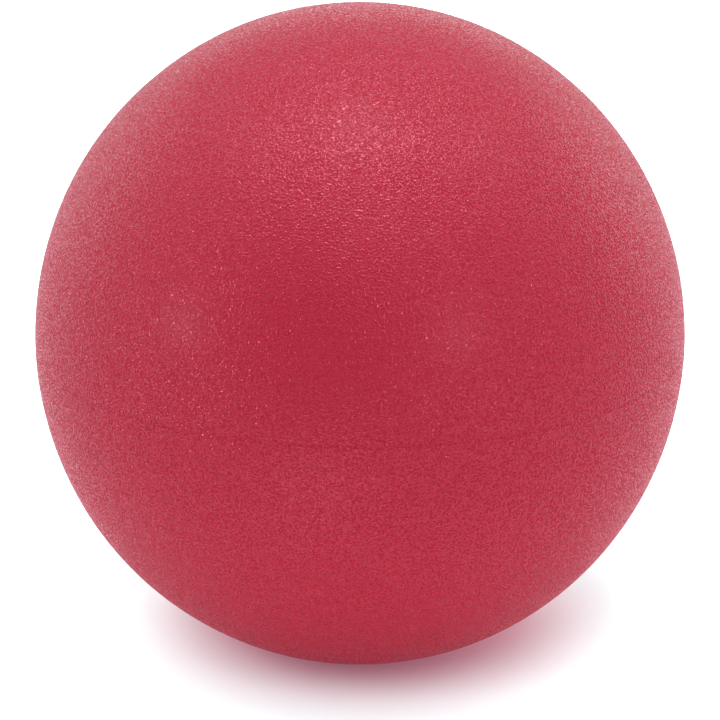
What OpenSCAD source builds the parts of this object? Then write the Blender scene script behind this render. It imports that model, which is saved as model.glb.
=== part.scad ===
// Firm massage ball: a dense core inside a grained rubber cover.
// The cover is two moulded cups that meet at the equator. A layer of cement
// joins them to the core and to each other, and shows as a fine parting line.
// The origin is the ball's centre, +Z runs through its poles, and all sizes
// are in millimetres.

/* [Ball] */
// Diameter across the equator
ball_d = 63; // [50:0.5:75]
// Height between the poles, as a share of that diameter
pole_stretch = 1.022; // [1:0.002:1.03]

/* [Cover] */
// Thickness of the cover's wall at the equator
cover_wall = 5; // [3:0.5:8]

/* [Cement] */
// Thickness of the cement round the core
film_t = 0.2; // [0.1:0.05:0.5]
// Gap between the two cups, which the cement fills
seam_w = 0.3; // [0.2:0.05:0.6]
// Depth of the fine groove that the cement leaves at the surface
seam_depth = 0.02; // [0.01:0.01:0.3]

/* [Hidden] */
$fn = 160;
pole_h = ball_d * pole_stretch;
cavity_d = ball_d - 2 * cover_wall;
core_d = cavity_d - 2 * film_t;
// Side of a block that is larger than the ball
clear = 2 * ball_d;

// The outer form of the ball, a little taller than it is wide
module outer_form() {
    scale([1, 1, pole_stretch])
        sphere(d = ball_d);
}

// Everything above a level plane at half the width of the seam
module above_seam() {
    translate([-clear / 2, -clear / 2, seam_w / 2])
        cube([clear, clear, pole_h]);
}

// The moulded cup that covers one half of the ball, with its rim downwards
module cover_cup() {
    difference() {
        intersection() {
            outer_form();
            above_seam();
        }
        sphere(d = cavity_d);
    }
}

// Firm solid ball that gives the massage ball its weight and hardness
module core() {
    color("dimgray")
        sphere(d = core_d);
}

// Cement: a thin shell round the core, with a flange between the two cups
module bond_layer() {
    flange_d = ball_d - 2 * seam_depth;
    color("indianred")
        difference() {
            union() {
                sphere(d = cavity_d);
                cylinder(h = seam_w, d = flange_d, center = true);
            }
            sphere(d = core_d);
        }
}

module upper_cover() {
    color("crimson")
        cover_cup();
}

module lower_cover() {
    color("crimson")
        mirror([0, 0, 1])
            cover_cup();
}

core();
bond_layer();
lower_cover();
upper_cover();
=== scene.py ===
"""A firm crimson massage ball on a white sweep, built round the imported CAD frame.

The cover is two grained cups that meet at the equator. Cement joins them to each other and to a dense core.
All lengths are in metres, in the CAD frame.
"""

import math

import bpy
import numpy as np
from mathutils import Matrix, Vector


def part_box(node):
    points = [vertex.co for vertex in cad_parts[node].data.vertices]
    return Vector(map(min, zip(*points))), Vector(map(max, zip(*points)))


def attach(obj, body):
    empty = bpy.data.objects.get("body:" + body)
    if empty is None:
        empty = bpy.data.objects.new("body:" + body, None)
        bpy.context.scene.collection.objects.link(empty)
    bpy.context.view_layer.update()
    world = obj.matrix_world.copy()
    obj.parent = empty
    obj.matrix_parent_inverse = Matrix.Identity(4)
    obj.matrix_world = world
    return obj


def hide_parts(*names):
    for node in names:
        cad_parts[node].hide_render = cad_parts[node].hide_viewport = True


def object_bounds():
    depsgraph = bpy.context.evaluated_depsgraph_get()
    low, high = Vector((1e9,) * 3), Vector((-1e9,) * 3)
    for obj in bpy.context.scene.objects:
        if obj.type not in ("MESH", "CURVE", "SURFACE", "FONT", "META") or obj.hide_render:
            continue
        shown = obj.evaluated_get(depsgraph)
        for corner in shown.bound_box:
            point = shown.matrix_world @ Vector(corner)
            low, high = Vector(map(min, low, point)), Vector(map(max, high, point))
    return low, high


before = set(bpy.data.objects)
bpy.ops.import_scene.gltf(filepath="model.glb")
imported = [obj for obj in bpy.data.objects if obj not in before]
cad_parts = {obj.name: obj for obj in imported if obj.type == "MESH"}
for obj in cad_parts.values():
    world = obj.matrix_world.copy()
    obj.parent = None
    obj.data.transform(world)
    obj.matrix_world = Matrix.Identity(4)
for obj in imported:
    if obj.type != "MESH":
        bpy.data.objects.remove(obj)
cad_low, cad_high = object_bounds()

MM = 0.001

# Sizes of the ball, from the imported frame. The CAD's round is made of flat facets, so its smallest
# half width is taken as the radius, which keeps the visual model inside the CAD's box.
upper_low, upper_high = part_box("upper_cover")
_, core_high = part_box("core")
_, bond_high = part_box("bond_layer")
BALL_R = min(upper_high[0], upper_high[1], -upper_low[0], -upper_low[1])
POLE_H = upper_high[2]
RIM_Z = upper_low[2]
CAVITY_R = bond_high[2]
FLANGE_R = bond_high[0]
CORE_R = core_high[0]

# Cells along each side of the cube that a cup's dome and its cavity are rounded from.
DOME_CELLS = 160
CAVITY_CELLS = DOME_CELLS // 2
# Above 1, the rows of cells crowd towards the rim, where the lip is.
RIM_CROWDING = 1.5
# Points closer together than this share of the radius are one point.
MERGE_SHARE = 1e-7

# Facets round the equator of the cement, and rings from there to each pole.
CEMENT_TURNS = 320
CEMENT_RINGS = 40

# Edges that turn by more than this, such as a cup's rim, are shaded crisp.
SHARP_EDGE_DEG = 50

# The rim rolls inwards by a hair where the two cups meet, with a trace of flash above it.
LIP_DEPTH = 0.005 * MM
LIP_WIDTH = 0.12 * MM
FLASH_HEIGHT = 0.002 * MM
FLASH_ABOVE_RIM = 0.32 * MM
FLASH_WIDTH = 0.12 * MM

# Moulded rubber is never quite true: it has slow swells, a sum of random waves, which fade out
# towards the rim. The dome is drawn in to make room for them.
SWELL_HEIGHT = 0.012 * MM
SWELL_WAVE = 17 * MM
SWELL_WAVE_SHARES = (0.7, 1.6)
SWELL_COUNT = 14
SWELL_DRAW_IN = 2.2 * SWELL_HEIGHT
SWELL_FADE = 4 * MM


# ---------------------------------------------------------------- meshes

def swell(points, seed):
    """Slow random waviness of a moulded surface, as an outward shift for each point."""
    rng = np.random.default_rng(seed)
    total = np.zeros(len(points))
    for _ in range(SWELL_COUNT):
        way = rng.normal(size=3)
        way /= np.linalg.norm(way)
        wave = SWELL_WAVE * rng.uniform(*SWELL_WAVE_SHARES)
        total += np.sin(points @ way * 2 * math.pi / wave + rng.uniform(0, 2 * math.pi))
    return SWELL_HEIGHT * total / math.sqrt(SWELL_COUNT)


def half_cube_grid(cells, crowding):
    """Unit directions and quads of a half sphere, rounded from a cube, with its rim at z = 0."""
    across = np.tan(np.linspace(-math.pi / 4, math.pi / 4, cells + 1))
    up = np.tan(math.pi / 4 * np.linspace(0, 1, cells // 2 + 1) ** crowding)
    grids = []
    y, z = np.meshgrid(across, up)
    x = np.ones_like(y)
    for c, s in ((1, 0), (0, 1), (-1, 0), (0, -1)):
        grids.append(np.stack([c * x - s * y, s * x + c * y, z], axis=-1))
    x, y = np.meshgrid(across, across)
    grids.append(np.stack([x, y, np.ones_like(x)], axis=-1))

    points = []
    quads = []
    start = 0
    for grid in grids:
        rows, columns = grid.shape[:2]
        index = start + np.arange(rows * columns).reshape(rows, columns)
        corners = (index[:-1, :-1], index[:-1, 1:], index[1:, 1:], index[1:, :-1])
        quads.append(np.stack([c.ravel() for c in corners], axis=1))
        points.append(grid.reshape(-1, 3))
        start += rows * columns
    points = np.concatenate(points)
    points /= np.linalg.norm(points, axis=1, keepdims=True)
    keys = np.round(points / MERGE_SHARE).astype(np.int64)
    _, first, merged = np.unique(keys, axis=0, return_index=True, return_inverse=True)
    return points[first], merged.reshape(-1)[np.concatenate(quads)]


def round_z(directions, width, height):
    """Points at the given distances from the z axis and heights, at the bearings of the directions."""
    angle = np.arctan2(directions[:, 1], directions[:, 0])
    return np.stack([width * np.cos(angle), width * np.sin(angle), height], axis=1)


def dome_points(directions, seed):
    """The cover's outer surface over one half, with its lip, its trace of flash and its slow swells."""
    height = RIM_Z + directions[:, 2] * (POLE_H - RIM_Z)
    width = BALL_R * np.sqrt(np.clip(1 - (height / POLE_H) ** 2, 0, None))
    dome = round_z(directions, width, height)
    above = height - RIM_Z
    shift = FLASH_HEIGHT * np.exp(-(((above - FLASH_ABOVE_RIM) / FLASH_WIDTH) ** 2))
    shift -= LIP_DEPTH * np.exp(-above / LIP_WIDTH)
    shift += (swell(dome, seed) - SWELL_DRAW_IN) * np.clip(above / SWELL_FADE, 0, 1)
    return dome + directions * shift[:, None]


def cavity_points(directions):
    """The inside of one half of the cover, which lies on the cement."""
    height = RIM_Z + directions[:, 2] * (CAVITY_R - RIM_Z)
    width = np.sqrt(np.clip(CAVITY_R**2 - height**2, 0, None))
    return round_z(directions, width, height)


def rim_loop(directions):
    """The vertices on the rim, in order round it."""
    on_rim = np.flatnonzero(directions[:, 2] < MERGE_SHARE)
    angle = np.arctan2(directions[on_rim, 1], directions[on_rim, 0])
    return on_rim[np.argsort(angle)].tolist()


def rim_faces(dome_rim, cavity_rim):
    """The flat ring between two loops, with two steps of the dome's to each step of the cavity's."""
    faces = []
    for k, near in enumerate(cavity_rim):
        far = cavity_rim[(k + 1) % len(cavity_rim)]
        first, middle = dome_rim[2 * k : 2 * k + 2]
        last = dome_rim[(2 * k + 2) % len(dome_rim)]
        faces += [(first, near, middle), (middle, near, far), (middle, far, last)]
    return faces


def solid(name, points, faces):
    """A smooth-shaded mesh object on the root body."""
    mesh = bpy.data.meshes.new(name)
    mesh.from_pydata(points.tolist(), [], faces)
    mesh.validate()
    mesh.shade_smooth()
    mesh.set_sharp_from_angle(angle=math.radians(SHARP_EDGE_DEG))
    piece = bpy.data.objects.new(name, mesh)
    bpy.context.scene.collection.objects.link(piece)
    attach(piece, "root")
    return piece


def cup(name, side, seed):
    """One half of the cover as a closed mesh of dome, cavity and flat rim.

    side is 1 for the upper half and -1 for the lower.
    """
    dome, dome_quads = half_cube_grid(DOME_CELLS, RIM_CROWDING)
    cavity, cavity_quads = half_cube_grid(CAVITY_CELLS, 1)
    cavity_start = len(dome)
    cavity_rim = [cavity_start + i for i in rim_loop(cavity)]

    points = np.concatenate([dome_points(dome, seed), cavity_points(cavity)])
    faces = dome_quads.tolist()
    faces += (cavity_quads + cavity_start)[:, ::-1].tolist()
    faces += rim_faces(rim_loop(dome), cavity_rim)
    if side < 0:
        points[:, 2] *= -1
        faces = [f[::-1] for f in faces]
    return solid(name, points, faces)


def turned(profile, pole, start):
    """Points and outward faces of a profile of (radius, z) turned round the z axis and closed at its poles.

    The points are numbered from start.
    """
    points = []
    for r, z in profile:
        for k in range(CEMENT_TURNS):
            t = 2 * math.pi * k / CEMENT_TURNS
            points.append((r * math.cos(t), r * math.sin(t), z))
    south = start + len(points)
    north = south + 1
    top = south - CEMENT_TURNS
    points += [(0, 0, -pole), (0, 0, pole)]

    faces = []
    for ring in range(start, top, CEMENT_TURNS):
        for k in range(CEMENT_TURNS):
            a = ring + k
            b = ring + (k + 1) % CEMENT_TURNS
            faces.append((a, b, b + CEMENT_TURNS, a + CEMENT_TURNS))
    for k in range(CEMENT_TURNS):
        after = (k + 1) % CEMENT_TURNS
        faces.append((south, start + after, start + k))
        faces.append((north, top + k, top + after))
    return points, faces


def cement_shell(name):
    """The cement as one closed solid: a thin shell round the core, with a flange out between the rims."""
    start = math.asin(RIM_Z / CAVITY_R)
    rises = [start + (math.pi / 2 - start) * i / CEMENT_RINGS for i in range(CEMENT_RINGS)]
    upper = [(FLANGE_R, RIM_Z)] + [(CAVITY_R * math.cos(t), CAVITY_R * math.sin(t)) for t in rises]
    outside = [(r, -z) for r, z in reversed(upper)] + upper
    rises = [math.pi / 2 * i / CEMENT_RINGS for i in range(1 - CEMENT_RINGS, CEMENT_RINGS)]
    inside = [(CORE_R * math.cos(t), CORE_R * math.sin(t)) for t in rises]

    points, faces = turned(outside, CAVITY_R, 0)
    inner_points, inner_faces = turned(inside, CORE_R, len(points))
    faces += [f[::-1] for f in inner_faces]
    return solid(name, np.array(points + inner_points), faces)


# ---------------------------------------------------------------- materials

class Nodes:
    """Short calls for building the nodes of a material or of the world."""

    def __init__(self, owner, coordinates):
        self.owner = owner
        owner.use_nodes = True
        self.tree = owner.node_tree
        self.tree.nodes.clear()
        self.place = self.add("ShaderNodeTexCoord").outputs[coordinates]

    def add(self, kind, **settings):
        node = self.tree.nodes.new(kind)
        for key, value in settings.items():
            setattr(node, key, value)
        return node

    def put(self, socket, value):
        if isinstance(value, bpy.types.NodeSocket):
            self.tree.links.new(value, socket)
        else:
            socket.default_value = value

    def math(self, operation, *values):
        node = self.add("ShaderNodeMath", operation=operation)
        for socket, value in zip(node.inputs, values):
            self.put(socket, value)
        return node.outputs[0]

    def noise(self, wave, detail=2, roughness=0.5):
        """Noise from 0 to 1 whose features are about one wave apart, in metres."""
        node = self.add("ShaderNodeTexNoise")
        self.put(node.inputs["Vector"], self.place)
        node.inputs["Scale"].default_value = 1 / wave
        node.inputs["Detail"].default_value = detail
        node.inputs["Roughness"].default_value = roughness
        return node.outputs["Fac"]

    def cells(self, pitch, smoothness):
        """Rounded cells one pitch apart, in metres: 0 at each centre, rising towards the edges."""
        node = self.add("ShaderNodeTexVoronoi", feature="SMOOTH_F1")
        self.put(node.inputs["Vector"], self.place)
        node.inputs["Scale"].default_value = 1 / pitch
        node.inputs["Smoothness"].default_value = smoothness
        return node.outputs["Distance"]

    def span(self, value, from_low, from_high, to_low, to_high):
        node = self.add("ShaderNodeMapRange")
        numbers = (value, from_low, from_high, to_low, to_high)
        for socket, number in zip(node.inputs, numbers):
            self.put(socket, number)
        return node.outputs[0]

    def mix(self, share, a, b):
        node = self.add("ShaderNodeMix", data_type="RGBA")
        self.put(node.inputs["Factor"], share)
        self.put(node.inputs[6], a)
        self.put(node.inputs[7], b)
        return node.outputs[2]

    def bump(self, height, depth):
        node = self.add("ShaderNodeBump")
        node.inputs["Strength"].default_value = 1
        node.inputs["Distance"].default_value = depth
        self.put(node.inputs["Height"], height)
        return node.outputs["Normal"]

    def surface(self, colour, roughness, normal=None, **numbers):
        """Finish a material with a Principled shader, whose other sockets are set by name."""
        shader = self.add("ShaderNodeBsdfPrincipled")
        self.put(shader.inputs["Base Color"], colour)
        self.put(shader.inputs["Roughness"], roughness)
        if normal is not None:
            self.put(shader.inputs["Normal"], normal)
        for name, value in numbers.items():
            shader.inputs[name.replace("_", " ")].default_value = value
        output = self.add("ShaderNodeOutputMaterial")
        self.tree.links.new(shader.outputs[0], output.inputs["Surface"])
        return self.owner


def material(name):
    return Nodes(bpy.data.materials.new(name), "Object")


# The mould's fine grain: tiny even bumps about one and a half waves apart, from matt pits to paler,
# glossier tops. The pits' colour is darkened as painted shade. The noise crosses from pit to top over the
# range.
GRAIN_WAVE = 0.19 * MM
GRAIN_DEPTH = 0.105 * MM
GRAIN_RANGE = (0.38, 0.62)
GRAIN_ROUGHNESSES = (0.84, 0.12)
# Painted shade: the pits' colour is darker than the tops'.
PIT_PAINTED_SHADE_COLOUR = (0.420, 0.0035, 0.0275, 1)
TOP_COLOUR = (0.478, 0.0165, 0.052, 1)
# Red rubber gives its gloss a red tint, except at a glancing angle.
GLOSS_TINT = (1, 0.36, 0.42, 1)
COAT_ROUGHNESS = 0.30

# The cover's colour drifts slowly between its own and up to a quarter of this one. A range is the part
# of a noise or of a cell over which it takes effect.
MOTTLE_WAVE = 6 * MM
CLOUD_WAVE = 22 * MM
MOTTLE_RANGE = (0.35, 0.65)
MOTTLE_SHARES = (0.0, 0.25)
MOTTLE_COLOUR = (0.46, 0.013, 0.042, 1)

# The cement takes on a little of a darker red, in patches.
PATCH_WAVE = 1.5 * MM
PATCH_RANGE = (0.3, 0.7)
PATCH_SHARES = (0.02, 0.10)
PATCH_COLOUR = (0.28, 0.006, 0.022, 1)

# The core: crumbs in a compound, and the scratches of the buffing wheel.
CORE_COLOUR = (0.030, 0.030, 0.032, 1)
CRUMB_COLOUR = (0.10, 0.095, 0.09, 1)
CRUMB_PITCH = 1.1 * MM
CRUMB_ROUNDING = 0.2
CRUMB_EDGE_RANGE = (0.05, 0.2)
SCRATCH_WAVE = 0.25 * MM
SCRATCH_DEPTH = 0.03 * MM
SCRATCH_RANGE = (0.3, 0.7)
SCRATCH_ROUGHNESSES = (0.6, 0.85)


def grained(n):
    """Colour, roughness and normal of rubber that carries the mould's grain, its colour darkened in the
    pits as painted shade.
    """
    height = n.noise(GRAIN_WAVE, detail=0)
    raised = n.span(height, *GRAIN_RANGE, 0.0, 1.0)
    # Painted shade: the colour darkens into the grain's pits.
    colour = n.mix(raised, PIT_PAINTED_SHADE_COLOUR, TOP_COLOUR)
    roughness = n.span(raised, 0.0, 1.0, *GRAIN_ROUGHNESSES)
    return colour, roughness, n.bump(height, GRAIN_DEPTH)


def cover_rubber():
    """Crimson rubber with an even fine grain and slow mottling."""
    n = material("cover_rubber")
    colour, roughness, normal = grained(n)
    mottle = n.noise(MOTTLE_WAVE, detail=3)
    cloud = n.noise(CLOUD_WAVE, detail=2)
    slow = n.math("ADD", n.math("MULTIPLY", mottle, 0.5), n.math("MULTIPLY", cloud, 0.5))
    shade = n.span(slow, *MOTTLE_RANGE, *MOTTLE_SHARES)
    return n.surface(
        n.mix(shade, colour, MOTTLE_COLOUR),
        roughness,
        normal,
        Specular_IOR_Level=1.0,
        Specular_Tint=GLOSS_TINT,
        Coat_Weight=0.09,
        Coat_Roughness=COAT_ROUGHNESS,
    )


def cement():
    """Cured rubber cement: a shade darker and duller than the cover, and grained by the same mould."""
    n = material("cement")
    colour, roughness, normal = grained(n)
    patches = n.noise(PATCH_WAVE, detail=3)
    shade = n.span(patches, *PATCH_RANGE, *PATCH_SHARES)
    return n.surface(
        n.mix(shade, colour, PATCH_COLOUR),
        roughness,
        normal,
        Specular_IOR_Level=0.9,
        Specular_Tint=GLOSS_TINT,
        Coat_Weight=0.05,
        Coat_Roughness=COAT_ROUGHNESS,
    )


def core_rubber():
    """Dark dense rubber compound, buffed so that the cement holds, with paler crumbs in it."""
    n = material("core_rubber")
    crumbs = n.cells(CRUMB_PITCH, CRUMB_ROUNDING)
    scratches = n.noise(SCRATCH_WAVE, detail=4, roughness=0.7)
    speck = n.span(crumbs, *CRUMB_EDGE_RANGE, 1.0, 0.0)
    return n.surface(
        n.mix(speck, CORE_COLOUR, CRUMB_COLOUR),
        n.span(scratches, *SCRATCH_RANGE, *SCRATCH_ROUGHNESSES),
        n.bump(scratches, SCRATCH_DEPTH),
    )


# ---------------------------------------------------------------- pieces

RUBBER = cover_rubber()
for name, node, side, seed in (
    ("cover_upper_half", "upper_cover", 1, 11),
    ("cover_lower_half", "lower_cover", -1, 12),
):
    half = cup(name, side, seed)
    half.data.materials.append(RUBBER)
    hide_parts(node)

bond = cement_shell("cement_layer")
bond.data.materials.append(cement())
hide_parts("bond_layer")

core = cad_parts["core"]
core.data.materials.clear()
core.data.materials.append(core_rubber())


# ---------------------------------------------------------------- floor and camera

# The paper's rose tint makes the light that it throws up on the ball red, and the ball's shadow mauve.
FLOOR_SIDE = 4.0
PAPER_TONES = ((0.93, 0.68, 0.74, 1), (0.95, 0.70, 0.76, 1))
PAPER_WAVE = 0.4
PAPER_ROUGHNESS = 0.9


def white_paper():
    n = material("white_paper")
    tone = n.noise(PAPER_WAVE, detail=2)
    return n.surface(n.mix(tone, *PAPER_TONES), PAPER_ROUGHNESS, Specular_IOR_Level=0.0)


bpy.ops.mesh.primitive_plane_add(size=FLOOR_SIDE, location=(0, 0, cad_low[2]))
floor = bpy.context.object
floor.name = "floor"
floor.data.materials.append(white_paper())

CAMERA_HEIGHT_DEG = 18
CAMERA_DISTANCE = 8 * BALL_R
LENS_MM = 129.0
SENSOR_MM = 36
CLIP_NEAR = 0.01
CLIP_FAR = 20
# The camera looks a little below the ball's centre, so the ball stands above the middle of the frame.
AIM_BELOW_DEG = 0.576

scene = bpy.context.scene
camera = bpy.data.objects.new("camera", bpy.data.cameras.new("camera"))
scene.collection.objects.link(camera)
bpy.context.scene.camera = camera
camera.data.lens = LENS_MM
camera.data.sensor_width = SENSOR_MM
camera.data.clip_start = CLIP_NEAR
camera.data.clip_end = CLIP_FAR
lift = math.radians(CAMERA_HEIGHT_DEG)
camera.location = Vector((0, -math.cos(lift), math.sin(lift))) * CAMERA_DISTANCE
aim = math.radians(CAMERA_HEIGHT_DEG + AIM_BELOW_DEG)
forward = Vector((0, math.cos(aim), -math.sin(aim)))
camera.rotation_mode = "QUATERNION"
camera.rotation_quaternion = forward.to_track_quat("-Z", "Y")

scene.view_settings.view_transform = "Standard"
scene.view_settings.look = "None"


# ---------------------------------------------------------------- light

# Round soft lamps that face the ball: name, place, width, watts.
SOFTBOXES = (
    ("overhead", (0, -0.04, 0.60), 0.24, 1.15),
    ("front_high", (0.02, -0.33, 0.43), 0.24, 0.20),
    ("overhead_left", (-0.27, 0.00, 0.48), 0.24, 0.32),
    ("overhead_right", (0.27, 0.00, 0.48), 0.24, 0.32),
    ("back_left", (-0.42, 0.35, 0.14), 0.40, 0.36),
    ("back_right", (0.42, 0.35, 0.14), 0.40, 0.36),
)
# Small cards that add soft glints to the front and nothing else. The last stands low and close.
GLINT_CARDS = (
    ("glint_left", (-0.43, -0.22, 0.085), 0.10, 0.38),
    ("glint_right", (0.27, -0.41, 0.12), 0.10, 0.32),
    ("glint_low", (-0.0133, -0.0643, -0.0290), 0.020, 0.0020),
)
# Broad lamps that wash the sweep white. They light the floor alone and don't bounce, and are greener
# than white because the paper is rose: name, way to the lamp, spread in degrees, strength, colour.
FLOOR_WASHES = (
    ("floor_wash", (-0.05, -0.24, 1), 88, 4.9, (0.14, 1, 0.80)),
    ("floor_front", (-0.25, -1.20, 1), 30, 2.4, (0.68, 1, 0.95)),
)
# A faint glow on the floor. It casts no shadow, so it reaches under the ball and lights its underside.
FLOOR_GLOW_STRENGTH = 0.52
FLOOR_GLOW_COLOUR = (1, 0.68, 0.92)

# Soft walls of light round the ball: the way to the wall, tightness, strength.
TENT_WALLS = (
    ((0, 0, 1), 2, 1.04),
    ((0, 1, 0), 6, 1.62),
    ((-1, 0, 0), 2, 0.85),
    ((1, 0, 0), 2, 1.07),
    ((0, -1, 0), 2, 0.04),
)
TENT_CLOTH = (0.8, 0.8, 0.8, 1)
# What the camera sees past the floor's edge.
BACKDROP_COLOUR = (1, 1, 1, 1)
BACKDROP_STRENGTH = 1.1

floor_only = bpy.data.collections.new("floor_only")
floor_only.objects.link(floor)


def softbox(name, place, width, watts):
    """A round soft lamp that faces the ball."""
    lamp = bpy.data.lights.new(name, "AREA")
    lamp.shape = "DISK"
    lamp.size = width
    lamp.energy = watts
    holder = bpy.data.objects.new(name, lamp)
    scene.collection.objects.link(holder)
    holder.location = place
    holder.rotation_mode = "QUATERNION"
    holder.rotation_quaternion = (-Vector(place)).to_track_quat("-Z", "Y")
    return holder


def floor_lamp(name, strength, colour):
    """A far lamp that lights the floor alone. It shines straight down until it is turned."""
    lamp = bpy.data.lights.new(name, "SUN")
    lamp.energy = strength
    lamp.color = colour
    holder = bpy.data.objects.new(name, lamp)
    scene.collection.objects.link(holder)
    holder.light_linking.receiver_collection = floor_only
    return holder


def white_tent():
    """The world: soft walls of light for the ball, and a plain white for the camera."""
    n = Nodes(bpy.data.worlds.new("white_tent"), "Generated")
    glow = 0.0
    for way, tightness, strength in TENT_WALLS:
        facing = n.add("ShaderNodeVectorMath", operation="DOT_PRODUCT")
        n.put(facing.inputs[0], n.place)
        n.put(facing.inputs[1], way)
        lobe = n.math("POWER", n.math("MAXIMUM", facing.outputs["Value"], 0.0), tightness)
        glow = n.math("MULTIPLY_ADD", lobe, strength, glow)
    lit = n.add("ShaderNodeBackground")
    n.put(lit.inputs["Color"], TENT_CLOTH)
    n.put(lit.inputs["Strength"], glow)
    seen = n.add("ShaderNodeBackground")
    n.put(seen.inputs["Color"], BACKDROP_COLOUR)
    n.put(seen.inputs["Strength"], BACKDROP_STRENGTH)
    choose = n.add("ShaderNodeMixShader")
    n.put(choose.inputs["Fac"], n.add("ShaderNodeLightPath").outputs["Is Camera Ray"])
    n.put(choose.inputs[1], lit.outputs[0])
    n.put(choose.inputs[2], seen.outputs[0])
    n.put(n.add("ShaderNodeOutputWorld").inputs["Surface"], choose.outputs[0])
    return n.owner


for name, place, width, watts in SOFTBOXES:
    softbox(name, place, width, watts)

for name, place, width, watts in GLINT_CARDS:
    card = softbox(name, place, width, watts)
    card.visible_diffuse = False

for name, way, spread_deg, strength, colour in FLOOR_WASHES:
    wash = floor_lamp(name, strength, colour)
    wash.rotation_mode = "QUATERNION"
    wash.rotation_quaternion = Vector(way).to_track_quat("Z", "Y")
    wash.data.angle = math.radians(spread_deg)
    wash.data.cycles.max_bounces = 0
    wash.data.cycles.use_multiple_importance_sampling = False

floor_glow = floor_lamp("floor_glow", FLOOR_GLOW_STRENGTH, FLOOR_GLOW_COLOUR)
floor_glow.data.use_shadow = False

scene.world = white_tent()
